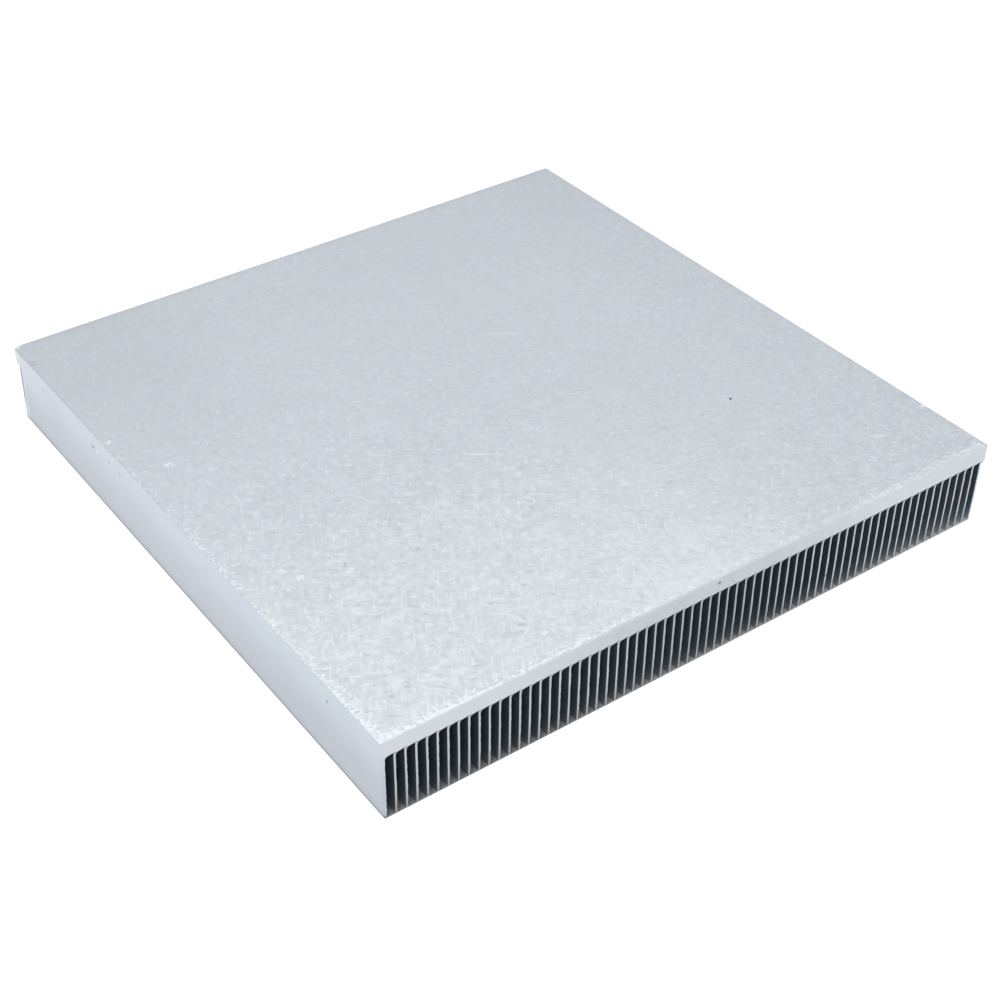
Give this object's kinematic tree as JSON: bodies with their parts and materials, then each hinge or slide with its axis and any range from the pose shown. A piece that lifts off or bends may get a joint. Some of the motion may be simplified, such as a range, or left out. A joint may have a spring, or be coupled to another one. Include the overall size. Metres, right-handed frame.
{
  "type": "skived fin heat sink",
  "caption": "Flat rectangular plate with a comb of thin, tall, closely spaced parallel fins skived from the same aluminium block.",
  "frame": {"origin": "centre of the plate's outline, at the height of the fin tips", "axes": "+Z from the fin tips to the plate's flat mounting face, +Y along the fins towards the end where they stop short of the plate, +X across the fins"},
  "size_m": [0.2, 0.207, 0.025],
  "materials": {
    "aluminium": "bare mill aluminium, satin, lightly sanded face with fine random marks"
  },
  "bodies": {
    "root": {"heat_sink": "aluminium"}
  },
  "joints": []
}
